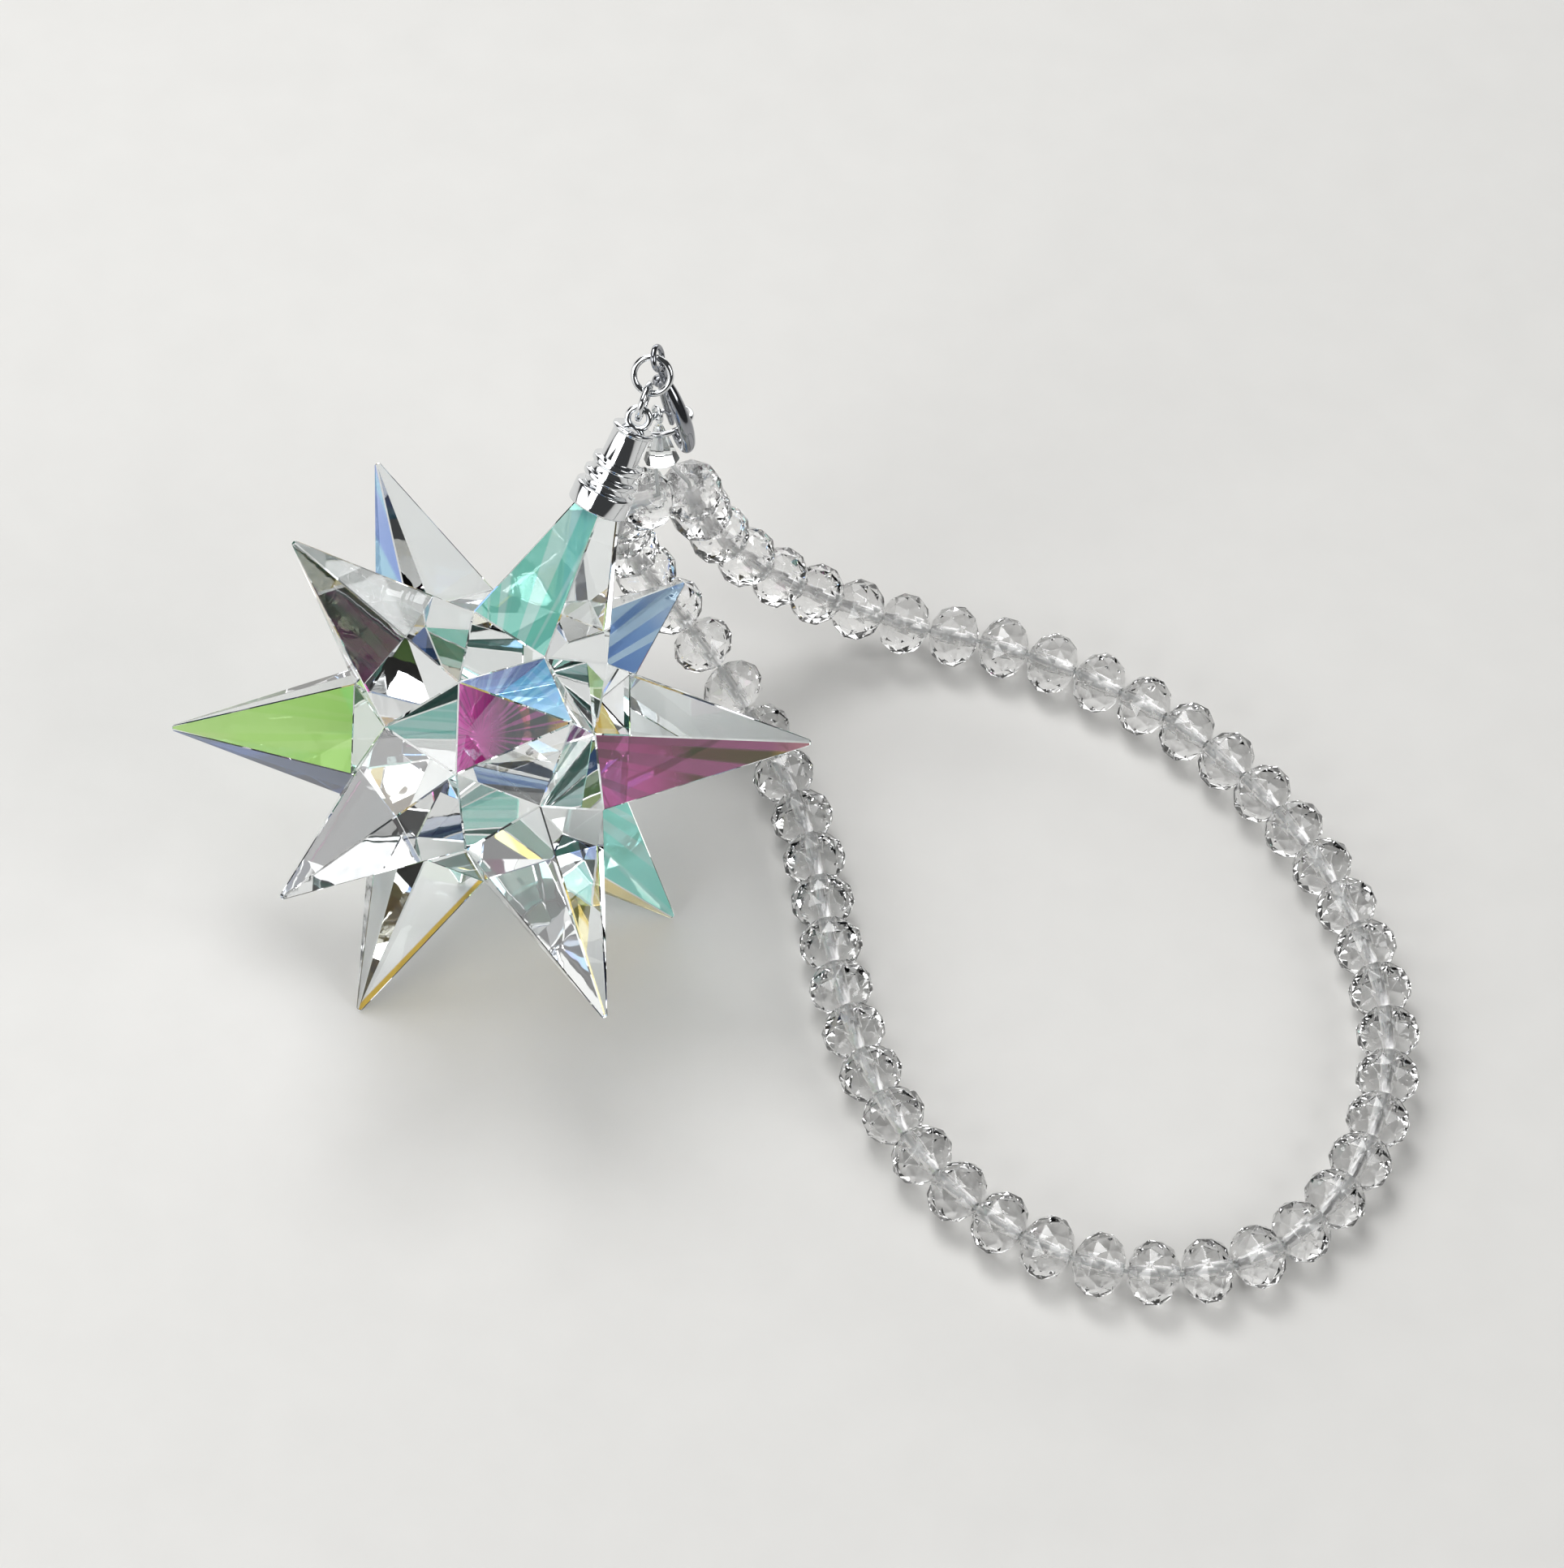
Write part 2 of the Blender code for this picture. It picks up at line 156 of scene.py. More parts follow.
# Materials are made of nodes in the object's own coordinates, so that a scale of 1000 is 1 mm

def linear(hexColour, alpha=1.0):  # sRGB hex to linear
    channels = []
    for i in (1, 3, 5):
        value = int(hexColour[i:i + 2], 16) / 255
        channels.append(value / 12.92 if value <= 0.04045 else ((value + 0.055) / 1.055) ** 2.4)
    return (*channels, alpha)


def addNode(tree, kind, settings=None, links=None):
    # Settings name an input or a property; links name an input and the socket that feeds it
    node = tree.nodes.new(kind)
    for name, value in (settings or {}).items():
        if isinstance(name, int) or name in node.inputs:
            node.inputs[name].default_value = value
        else:
            setattr(node, name, value)
    for name, socket in (links or {}).items():
        tree.links.new(socket, node.inputs[name])
    return node


def newMaterial(name, settings):
    made = bpy.data.materials.new(name)
    made.use_nodes = True
    tree = made.node_tree
    tree.nodes.clear()
    shader = addNode(tree, "ShaderNodeBsdfPrincipled", settings)
    addNode(tree, "ShaderNodeOutputMaterial", None, {"Surface": shader.outputs[0]})
    place = addNode(tree, "ShaderNodeTexCoord").outputs["Object"]
    return made, tree, shader, place


def addPatches(tree, shader, place, scale, detail, spread):  # roughness that differs from patch to patch
    noise = addNode(tree, "ShaderNodeTexNoise", {"Scale": scale, "Detail": detail}, {"Vector": place})
    rough = addNode(tree, "ShaderNodeMapRange", spread, {"Value": noise.outputs[0]})
    tree.links.new(rough.outputs[0], shader.inputs["Roughness"])


def addWaves(tree, shader, place, scale, detail, strength, depth):
    noise = addNode(tree, "ShaderNodeTexNoise", {"Scale": scale, "Detail": detail}, {"Vector": place})
    bump = addNode(tree, "ShaderNodeBump", {"Strength": strength, "Distance": depth},
                   {"Height": noise.outputs[0]})
    tree.links.new(bump.outputs[0], shader.inputs["Normal"])


# Camera: the photograph's own angle, from above and in front

view = {"place": (-0.00342, -0.47591, 0.65097), "tilt": 37.495, "roll": 5.903, "lens": 149.07}

cameraData = bpy.data.cameras.new("camera")
cameraData.lens = view["lens"]
cameraData.sensor_width = 36
cameraData.clip_start = 0.01
camera = bpy.data.objects.new("camera", cameraData)
turn = Matrix.Rotation(radians(view["tilt"]), 4, "X") @ Matrix.Rotation(radians(view["roll"]), 4, "Z")
camera.matrix_world = Matrix.Translation(view["place"]) @ turn
scene.collection.objects.link(camera)
scene.camera = camera
scene.view_settings.view_transform = "Standard"  # the films' colours as they are
print("camera set")


# Stringing line: the strand's route, repeated from the solids

strand = {
    "foot": Vector((-0.0391597, 0.0021119, 0)),  # the point on the table below the star's centre
    "unit": 0.0394 / 40,
    "rest": 0.0040,  # a bead's middle above the table
    "coneBase": Vector((-0.0218207, 0.0298952, 0.0528632)),
    "coneDown": Vector((0.15, -0.28, -0.95)),
    "lineEnds": Vector((1, 0.6, 0)),
    "spread": 0.00088,
    "bare": 0.0040,
    "gap": 0.0003,
    "line": 0.0005,
    "pitch": 0.0066,
    "beads": 53,
    "route": [
        (14.2, 28.4, 41.5), (13.0, 30.2, 36.4), (12.5, 32.9, 30.0), (13.7, 35.2, 23.6),
        (16.7, 36.2, 17.3), (20.9, 35.4, 11.7), (25.8, 32.6, 7.0), (30.6, 28.2, 3.2),
        (34.8, 22.6, 1.0), (38.5, 16.2, 0), (41.2, 9.2, 0), (44.3, -6.5, 0), (48.2, -19.4, 0),
        (53.4, -30.8, 0), (61.8, -41.4, 0), (73.1, -48.3, 0), (86.0, -51.0, 0), (98.8, -47.9, 0),
        (108.2, -39.1, 0), (114.0, -26.2, 0), (115.8, -12.4, 0), (112.6, 1.0, 0), (107.0, 12.9, 0),
        (99.2, 23.9, 0), (89.6, 33.0, 0), (78.3, 39.8, 0), (65.6, 44.3, 0), (58.8, 45.4, 0),
        (52.4, 45.7, 0.4), (46.2, 45.6, 2.4), (40.3, 44.9, 5.4), (35.4, 43.5, 9.5),
        (30.6, 42.1, 14.1), (26.5, 41.0, 19.2), (23.3, 40.0, 24.8), (21.5, 38.3, 30.9),
        (20.8, 35.8, 36.8), (20.8, 34.6, 39.6),
    ],
}


def curvePoints(points, steps=24):  # a smooth curve that rounds the route's corners
    points = [points[0]] * 2 + points + [points[-1]] * 2
    found = []
    for i in range(len(points) - 3):
        p, q, r, s = points[i:i + 4]
        for k in range(steps):
            t = k / steps
            first = (1 - t) ** 3
            second = 3 * t ** 3 - 6 * t ** 2 + 4
            third = -3 * t ** 3 + 3 * t ** 2 + 3 * t + 1
            found.append((first * p + second * q + third * r + t ** 3 * s) / 6)
    return found + [points[-1]]


def evenSteps(points, step):  # each point one straight step from the last
    found = [points[0]]
    i = 0
    while i < len(points) - 1:
        here = found[-1]
        if (points[i + 1] - here).length < step:
            i += 1
            continue
        start = points[i]
        reach = points[i + 1] - start
        low = 0.0
        high = 1.0
        for _ in range(40):
            middle = (low + high) / 2
            if (start + reach * middle - here).length < step:
                low = middle
            else:
                high = middle
        found.append(start + reach * high)
    return found


coneDown = strand["coneDown"].normalized()
lineTop = strand["coneBase"] + coneDown * (strand["gap"] + strand["line"] / 2)
aside = squareTo(strand["lineEnds"], coneDown) * strand["spread"]
routePoints = [lineTop - aside + coneDown * strand["bare"]]
for across, away, height in strand["route"]:
    spot = Vector((across, away, height)) * strand["unit"] + Vector((0, 0, strand["rest"]))
    routePoints.append(strand["foot"] + spot)
knots = evenSteps(curvePoints(routePoints), strand["pitch"])[:strand["beads"] + 1]
linePoints = [lineTop - aside] + knots + [lineTop + aside]

# Nylon monofilament, drawn: clear and glossy, with milky patches where it was pulled round a bend
nylon, tree, shader, place = newMaterial("nylonMonofilament", {
    "Base Color": linear("#EEF1F1"), "IOR": 1.53, "Transmission Weight": 0.6})
addPatches(tree, shader, place, scale=900, detail=2, spread={"To Min": 0.12, "To Max": 0.32})  # patches of about 1 mm

curve = bpy.data.curves.new("line", "CURVE")
curve.dimensions = "3D"
spline = curve.splines.new("POLY")
spline.points.add(len(linePoints) - 1)
for spot, point in zip(spline.points, linePoints):
    spot.co = (*point, 1)
curve.bevel_depth = strand["line"] / 2
curve.bevel_resolution = 3
curve.use_fill_caps = True
curve.materials.append(nylon)
line = bpy.data.objects.new("stringing_line", curve)
scene.collection.objects.link(line)
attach(line, "root")
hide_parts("line")


# Optical glass, cut and polished on a lap: clear and untinted, flat bright facets and sharp edges

def polishedCrystal(name, tint, ior=1.52, roughest=0.03):
    made, tree, shader, place = newMaterial(name, {
        "Base Color": linear(tint), "IOR": ior, "Transmission Weight": 1.0})
    # The polish drifts over about 4 mm, and the lap leaves a wave of some microns every 3 mm
    addPatches(tree, shader, place, scale=250, detail=3,
               spread={"From Min": 0.4, "From Max": 0.75, "To Max": roughest})
    addWaves(tree, shader, place, scale=330, detail=1, strength=0.3, depth=0.00002)
    return made, tree, shader, place


crystal = polishedCrystal("polishedCrystal", "#F9FCFD")[0]
beadCrystal = polishedCrystal("cutBeadCrystal", "#FBFBFB", 1.58)[0]
coneCrystal = polishedCrystal("mouldedConeCrystal", "#F3F6F6", roughest=0.10)[0]

# The beads' drilled holes are left ground, so each shows as a white thread through its bead
boreCrystal, tree, shader, place = newMaterial("groundBore", {
    "Base Color": linear("#FAFAFA"), "IOR": 1.58, "Transmission Weight": 1.0})
addPatches(tree, shader, place, scale=4000, detail=3, spread={"To Min": 0.3, "To Max": 0.6})  # a grit of 0.25 mm


def coatedCrystal(name, colours, paintedStreak, thickness, index, clarity):
    # Crystal with a metal oxide film, laid on in a vacuum: it shines and lets light through in
    # one strong colour, which changes from the core to the tip. Painted reflection: straight paler streaks that
    # fan out from the core, about 6 degrees apart, are mixed into the film's colour for the facets behind it.
    made, tree, shader, place = polishedCrystal(name, "#FFFFFF")
    reach = addNode(tree, "ShaderNodeVectorMath", {"operation": "LENGTH"}, {0: place})
    along = addNode(tree, "ShaderNodeMapRange", {"From Min": coating["core"], "From Max": coating["tips"]},
                    {"Value": reach.outputs["Value"]})
    run = addNode(tree, "ShaderNodeValToRGB", None, {"Fac": along.outputs[0]})
    ramp = run.color_ramp.elements
    while len(ramp) < len(colours):
        ramp.new(1.0)
    for i, (spot, colour) in enumerate(colours):
        ramp[i].position = spot
        ramp[i].color = linear(colour)
    lean = (radians(coating["paintedFanLean"]), 0, 0)
    turned = addNode(tree, "ShaderNodeMapping", {"Rotation": lean}, {"Vector": place})
    around = addNode(tree, "ShaderNodeTexGradient", {"gradient_type": "RADIAL"},
                     {"Vector": turned.outputs[0]})
    fan = addNode(tree, "ShaderNodeTexNoise", {"noise_dimensions": "1D", "Detail": 1,
                                               "Scale": coating["paintedStreaks"]}, {"W": around.outputs["Fac"]})
    low, high = coating["paintedStreakEdge"]
    step = addNode(tree, "ShaderNodeMapRange", {"From Min": low, "From Max": high,
                                                "To Max": coating["paintedStreakMix"]}, {"Value": fan.outputs[0]})
    # painted reflection: the paler streaks are mixed into the film's own colour
    filmAndPaintedStreaks = addNode(tree, "ShaderNodeMix", {"data_type": "RGBA", 7: linear(paintedStreak)},
                    {0: step.outputs[0], 6: run.outputs["Color"]})
    tree.links.new(filmAndPaintedStreaks.outputs[2], shader.inputs["Base Color"])
    shader.inputs["Thin Film Thickness"].default_value = thickness
    shader.inputs["Thin Film IOR"].default_value = index
    shader.inputs["Transmission Weight"].default_value = clarity
    return made


coating = {
    "core": 0.016,  # the colours run from this far from the star's centre to its tips
    "tips": 0.0394,
    "paintedFanLean": -38.5,  # degrees about the X axis, which tips the painted streaks' fan onto the camera's line of sight, so that they fan out from the core as the camera sees them
    "paintedStreaks": 60,  # round the whole turn
    "paintedStreakEdge": (0.52, 0.58),  # of the noise, from none to full
    "paintedStreakMix": 0.75,
}

# Each film has its colours from the core to the tip, the colour of its painted streaks (painted
# reflections of the facets behind), its thickness in nanometres, which sets the colour that it shines in,
# its index, and how much of the light it lets through. The rest it scatters, so its colour is even. A
# thickness of 0 leaves the shine out. Each crossing tints by only the root of a colour, so a colour is deeper here
# than it looks.
films = {
    "lime": {
        "colours": [(0.0, "#A8EC68"), (0.6, "#B0EC70"), (1.0, "#D8F4A0")],
        "paintedStreak": "#B8F07C", "thickness": 193, "index": 2.2, "clarity": 0.45,
    },
    "navy": {
        "colours": [(0.0, "#0C1E40"), (0.5, "#163060"), (1.0, "#304C80")],
        "paintedStreak": "#2C50A0", "thickness": 0, "index": 1.6, "clarity": 0.35,
    },
    "magenta": {
        "colours": [(0.0, "#D33FA6"), (0.24, "#AA277C"), (0.44, "#40101C"), (0.80, "#30120C"),
                    (1.0, "#C89030")],
        "paintedStreak": "#902C70", "thickness": 238, "index": 1.75, "clarity": 0.35,
    },
    "aqua": {
        "colours": [(0.0, "#90F0DA"), (0.6, "#88E4D0"), (1.0, "#98ECDC")],
        "paintedStreak": "#D4FFF6", "thickness": 174, "index": 2.2, "clarity": 0.45,
    },
    "mint": {
        "colours": [(0.0, "#90FCE4"), (0.6, "#A4FFEC"), (1.0, "#84ECD4")],
        "paintedStreak": "#D0FFF6", "thickness": 178, "index": 2.2, "clarity": 0.40,
    },
    "blue": {
        "colours": [(0.0, "#3059B3"), (0.5, "#5080D0"), (1.0, "#A8CCF4")],
        "paintedStreak": "#A0CCF8", "thickness": 163, "index": 2.0, "clarity": 0.60,
    },
    "gold": {
        "colours": [(0.0, "#D8A020"), (0.7, "#ECC850"), (1.0, "#F8E8A0")],
        "paintedStreak": "#FFEC90", "thickness": 206, "index": 2.2, "clarity": 0.80,
    },
    "teal": {
        "colours": [(0.0, "#2C7468"), (0.6, "#4C9488"), (1.0, "#A8D8D0")],
        "paintedStreak": "#A8DCD0", "thickness": 0, "index": 1.6, "clarity": 0.85,
    },
    "violet": {
        "colours": [(0.0, "#5878D8"), (0.6, "#7890E0"), (1.0, "#A8B4F0")],
        "paintedStreak": "#A0E0F0", "thickness": 151, "index": 2.2, "clarity": 0.60,
    },
}
coats = {"clear": crystal}
for name, film in films.items():
    coats[name] = coatedCrystal(name + "Film", **film)

# Painted reflection: the gold film on a face round the corner, as it would show through a clear face,
# is painted on that clear face as a gold band along the edge between them
paintedGoldBand = {"faces": (0.80, -0.44, -0.41), "distance": 0.01139, "width": 0.00054, "blur": 0.00018}

paintedGoldSeenThrough, tree, shader, place = polishedCrystal("clearCrystalWithPaintedGold", "#FFFFFF")
bandStart = paintedGoldBand["distance"] - paintedGoldBand["width"]
toCorner = addNode(tree, "ShaderNodeVectorMath", {"operation": "DOT_PRODUCT", 1: paintedGoldBand["faces"]},
                   {0: place})
band = addNode(tree, "ShaderNodeMapRange", {"From Min": bandStart - paintedGoldBand["blur"] / 2,
                                            "From Max": bandStart + paintedGoldBand["blur"] / 2},
               {"Value": toCorner.outputs["Value"]})
# the band's gold is painted on: a painted reflection of the gold face seen through the glass
paintedGoldTint = addNode(tree, "ShaderNodeMix", {"data_type": "RGBA", 6: linear("#F9FCFD"), 7: linear("#C88C10")},
                 {0: band.outputs[0]})
tree.links.new(paintedGoldTint.outputs[2], shader.inputs["Base Color"])
coats["paintedGoldSeenThrough"] = paintedGoldSeenThrough
print("crystal mixed")


# Star: twelve pentagonal spikes on one core, stood on three tips

star = {
    "reach": 0.0394,
    "core": 0.0176,
    "tip": 0.0008,
    "turn": 57.3,
    "seat": 0.0318,
    "widthAtCap": 0.0061,
    "cup": 0.0025,
    "gap": 0.0003,
    "edge": 0.00013,  # the narrow flat that is ground along each edge
    "sameWay": 0.95,  # least cosine between a face's way in the list and its real one
    # Each coated face: which spike, the way that the face looks, and its film
    "coated": [
        (0, (-0.31, -0.49, 0.81), "aqua"),
        (1, (-0.77, 0.60, -0.24), "teal"),
        (2, (-0.83, -0.37, 0.41), "magenta"), (2, (-0.27, 0.52, 0.81), "blue"),
        (3, (-0.91, -0.21, 0.35), "violet"),
        (5, (0.19, -0.92, 0.35), "magenta"),
        (6, (0.71, 0.06, 0.70), "blue"),
        (7, (-0.46, -0.54, 0.70), "lime"), (7, (-0.27, -0.90, -0.35), "navy"),
        (9, (-0.86, 0.45, 0.24), "aqua"),
        (10, (0.04, -0.97, 0.24), "paintedGoldSeenThrough"), (10, (0.80, -0.44, -0.41), "gold"),
        (11, (0.77, -0.60, 0.24), "mint"), (11, (-0.10, -0.91, -0.41), "gold"),
    ],
}


def spikeAxes():  # three low, three by three, three high, as an icosahedron stands on a face
    highZ = sqrt((5 + 2 * sqrt(5)) / 15)
    middleZ = sqrt((5 - 2 * sqrt(5)) / 15)
    found = []
    for height, turn in ((highZ, 0), (middleZ, pi / 3), (-middleZ, 0), (-highZ, pi / 3)):
        flat = sqrt(1 - height * height)
        for i in range(3):
            angle = radians(star["turn"]) + turn + i * tau / 3
            found.append(Vector((flat * cos(angle), flat * sin(angle), height)))
    return found


def makeStar(centre, spikes):
    shape = bmesh.new()
    count = len(spikes)
    pairs = []
    for i in range(count):
        for j in range(i + 1, count):
            if isclose(spikes[i].dot(spikes[j]), 1 / sqrt(5), rel_tol=0.001):
                pairs.append((i, j))
    corners = [shape.verts.new((spikes[i] + spikes[j]).normalized() * star["core"]) for i, j in pairs]
    baseDistance = corners[0].co.dot(spikes[pairs[0][0]])
    baseWidth = (corners[0].co - spikes[pairs[0][0]] * baseDistance).length
    names = list(coats)
    for i, axis in enumerate(spikes):
        end = star["reach"]
        endWidth = star["tip"] / 2
        if i == 0:  # cut off inside the cap
            end = star["seat"] + star["cup"] - star["gap"]
            slope = (baseWidth - star["widthAtCap"] / 2) / (star["seat"] - baseDistance)
            endWidth = star["widthAtCap"] / 2 - slope * (end - star["seat"])
        own = [corner for corner, pair in zip(corners, pairs) if i in pair]
        first, second = axesOf(axis, own[0].co)
        own.sort(key=lambda v: atan2(v.co.dot(second), v.co.dot(first)))
        narrowing = endWidth / baseWidth
        top = [shape.verts.new(axis * end + (v.co - axis * baseDistance) * narrowing) for v in own]
        coated = [(Vector(way), film) for spike, way, film in star["coated"] if spike == i]
        for k in range(5):
            m = (k + 1) % 5
            face = shape.faces.new((own[k], own[m], top[m], top[k]))
            face.normal_update()
            outward = face.normal if face.normal.dot(face.calc_center_median()) > 0 else -face.normal
            for way, film in coated:
                if outward.dot(way) > star["sameWay"]:
                    face.material_index = names.index(film)
        shape.faces.new(top)
    for i, j in pairs:
        for k in range(j + 1, count):
            if (i, k) in pairs and (j, k) in pairs:
                shape.faces.new([corners[pairs.index(pair)] for pair in ((i, j), (j, k), (i, k))])
    bmesh.ops.recalc_face_normals(shape, faces=shape.faces)
    bmesh.ops.bevel(shape, geom=shape.edges[:], offset=star["edge"], segments=1, profile=0.5,
                    affect="EDGES", clamp_overlap=True, material=names.index("clear"))
    makePiece("crystal_star", shape, list(coats.values()), "star", place=centre)


spikes = spikeAxes()
lowest = spikes[-1].z
rise = -lowest * star["reach"] + sqrt(1 - lowest * lowest) * star["tip"] / 2
centre = strand["foot"] + Vector((0, 0, rise))
makeStar(centre, spikes)
print("star made")


# Beads: faceted rondelles, wider than long, with rows of three-cornered facets and a hole

bead = {
    "sides": 10,
    "spin": 137.5,
    "from": Vector((0.3, 0.2, 1)),
    "bore": 0.00065,
    "edge": 0.00007,
    "pairs": 4,  # the first beads share their solids two by two
    # Up the hole: distance from the middle, radius, and whether the corners lie between the last row's
    "rows": [
        (-0.00305, 0.00132, False), (-0.00225, 0.00295, True), (-0.00080, 0.00392, False),
        (0.00080, 0.00392, True), (0.00225, 0.00295, False), (0.00305, 0.00132, True),
    ],
}


def makeBead(name, node, number, near, far):
    along = (far - near).normalized()
    first, second = axesOf(along, bead["from"])
    sides = bead["sides"]
    phase = number * radians(bead["spin"])
    shape = bmesh.new()
    rows = []
    for height, radius, between in bead["rows"]:
        turn = phase + (pi / sides if between else 0)
        rows.append([shape.verts.new(p) for p in ringOf(along * height, first, second, radius, sides, turn)])
    for i in range(1, len(rows)):
        even, between = (rows[i - 1], rows[i]) if bead["rows"][i][2] else (rows[i], rows[i - 1])
        for j in range(sides):
            k = (j + 1) % sides
            shape.faces.new((even[j], even[k], between[j]))
            shape.faces.new((between[j], between[k], even[k]))
    facetEdges = shape.edges[:]
    holes = []
    for row, (height, radius, between) in ((rows[0], bead["rows"][0]), (rows[-1], bead["rows"][-1])):
        turn = phase + (pi / sides if between else 0)
        hole = [shape.verts.new(p) for p in ringOf(along * height, first, second, bead["bore"], sides, turn)]
        for j in range(sides):
            k = (j + 1) % sides
            shape.faces.new((row[j], row[k], hole[k], hole[j]))
        holes.append(hole)
    for j in range(sides):
        k = (j + 1) % sides
        for corners in ((holes[0][j], holes[0][k], holes[1][j]), (holes[0][k], holes[1][k], holes[1][j])):
            shape.faces.new(corners).material_index = 1
    bmesh.ops.recalc_face_normals(shape, faces=shape.faces)
    bmesh.ops.bevel(shape, geom=facetEdges, offset=bead["edge"], segments=1, profile=0.5,
                    affect="EDGES", clamp_overlap=True, material=0)
    makePiece(name, shape, [beadCrystal, boreCrystal], node, place=(near + far) / 2)


for k, (near, far) in enumerate(zip(knots, knots[1:])):
    paired = k < 2 * bead["pairs"]
    number = k // 2 + 1 if paired else k - bead["pairs"] + 1
    node = f"bead_pair_{number:02d}" if paired else f"bead_{number:02d}"
    makeBead(f"rondelle_{k + 1:02d}", node, k, near, far)
print("beads strung")


# Brass or zinc, chrome plated and buffed: mirror bright, over the buffed metal's faint ripple

def chromePlate(name, colour, roughness, ripple):
    made, tree, shader, place = newMaterial(name, {"Base Color": linear(colour), "Metallic": 1.0})
    # Fingermarks dull the polish in patches of 0.8 mm, and the ripple is 0.6 mm long
    addPatches(tree, shader, place, scale=1250, detail=3,
               spread={"To Min": roughness * 0.5, "To Max": roughness * 1.7})
    addWaves(tree, shader, place, scale=1600, detail=2, strength=0.4, depth=ripple)
    return made


capChrome = chromePlate("platedBrassCap", "#E2E4E6", 0.05, 0.000003)
ringChrome = chromePlate("platedBrassWire", "#DCDEE0", 0.07, 0.000004)
# painted dark reflection: the clasp's plate is set much darker than the cap's and the rings', for the dark
# reflections on its body
claspChromePaintedDark = chromePlate("platedZincClaspPaintedDark", "#9C9EA3", 0.08, 0.00001)


# Cap: turned with two ribs, glued over the end of one spike, with an eyelet on top

cap = {
    "wall": 0.00035,
    "flange": 0.0027,
    "groove": 0.0009,
    "rib": 0.0010,
    "grooveRadius": 0.0028,
    "lowerRibRadius": 0.0034,
    "upperRibRadius": 0.0031,
    "neckRadius": 0.0023,
    "neck": 0.0033,
    "rimRadius": 0.0026,
    "rim": 0.0007,
    "eyelet": 0.0013,
    "eyeletWire": 0.0008,
    "eyeletSink": 0.00008,
    "faces": Vector((-0.11, -0.81, 0.57)),
    "soft": 0.00012,
    "sides": 72,
    "middle": 0.0004,  # the profile's ends stop this far from the axis
    "smooth": 50,
}

axis = spikes[0]
seat = centre + axis * star["seat"]
inner = star["widthAtCap"] / 2 + star["gap"]
outer = inner + cap["wall"]
edge = cap["wall"] / 2
lowerRib = cap["flange"] + cap["groove"]
upperRib = lowerRib + cap["rib"] + cap["groove"]
neck = upperRib + cap["rib"] + cap["groove"] / 2
shoulder = neck + cap["neck"]
capTop = shoulder + cap["rim"]
capProfile = [
    (star["cup"], cap["middle"]), (star["cup"], inner - cap["wall"]), (edge, inner),
    (0, inner + edge), (edge, outer),
    (cap["flange"] - edge, outer), (cap["flange"], outer - edge), (cap["flange"] + edge, cap["grooveRadius"]),
    (lowerRib, cap["grooveRadius"]), (lowerRib + edge, cap["lowerRibRadius"]),
    (lowerRib + cap["rib"] - edge, cap["lowerRibRadius"]), (lowerRib + cap["rib"], cap["grooveRadius"]),
    (upperRib, cap["grooveRadius"]), (upperRib + edge, cap["upperRibRadius"]),
    (upperRib + cap["rib"] - edge, cap["upperRibRadius"]), (upperRib + cap["rib"], cap["neckRadius"]),
    (shoulder, cap["neckRadius"]), (shoulder + edge, cap["rimRadius"]), (capTop - edge, cap["rimRadius"]),
    (capTop, cap["rimRadius"] - 2 * edge), (capTop, cap["middle"]),
]
capRings = turnedRings(seat, axis, softCorners(capProfile, cap["soft"]), cap["sides"])
makeShell("turned_cap", capRings, capChrome, "cap", cap["smooth"])

eyeletCentre = seat + axis * (capTop + cap["eyelet"] - cap["eyeletSink"])
facing = squareTo(cap["faces"], axis)
eyeletRings = wireRings(eyeletCentre, facing, cap["eyelet"], cap["eyeletWire"])
makeShell("cap_eyelet", eyeletRings, capChrome, "cap", cap["smooth"], closed=True)
print("cap turned")


# Rings: round wire, bent shut. Each hangs on the one before.

rings = {
    "jump": 0.0022,
    "jumpWire": 0.0008,
    "end": 0.0029,
    "endWire": 0.0007,
    "slit": 0.00006,
    "smooth": 50,
    "point": Vector((0.16, 0.27, 0.95)),
    "endPoint": Vector((-0.49, 0.74, -0.47)),
}


def makeRing(name, node, ringCentre, facing, radius, wire, slit=rings["slit"]):
    turns = wireRings(ringCentre, facing, radius, wire, slit)
    makeShell(name, turns, ringChrome, node, rings["smooth"], closed=not slit)


up = squareTo(rings["point"], facing)
sideways = facing.cross(up)
firstCentre = eyeletCentre + up * rings["jump"]
makeRing("lower_jump_ring", "jump_ring_1", firstCentre, sideways, rings["jump"], rings["jumpWire"])
hold = firstCentre + up * (rings["jump"] - rings["jumpWire"] - star["gap"])
secondCentre = hold + up * rings["jump"]
makeRing("upper_jump_ring", "jump_ring_2", secondCentre, facing, rings["jump"], rings["jumpWire"])
eye = secondCentre + up * rings["jump"]


# Lobster clasp: a cast hook with an eye, shut by a sprung lever with a knob for the thumb.
# Spots are (along, across, thickness): in parts of the length, of half the width, and of the bar.

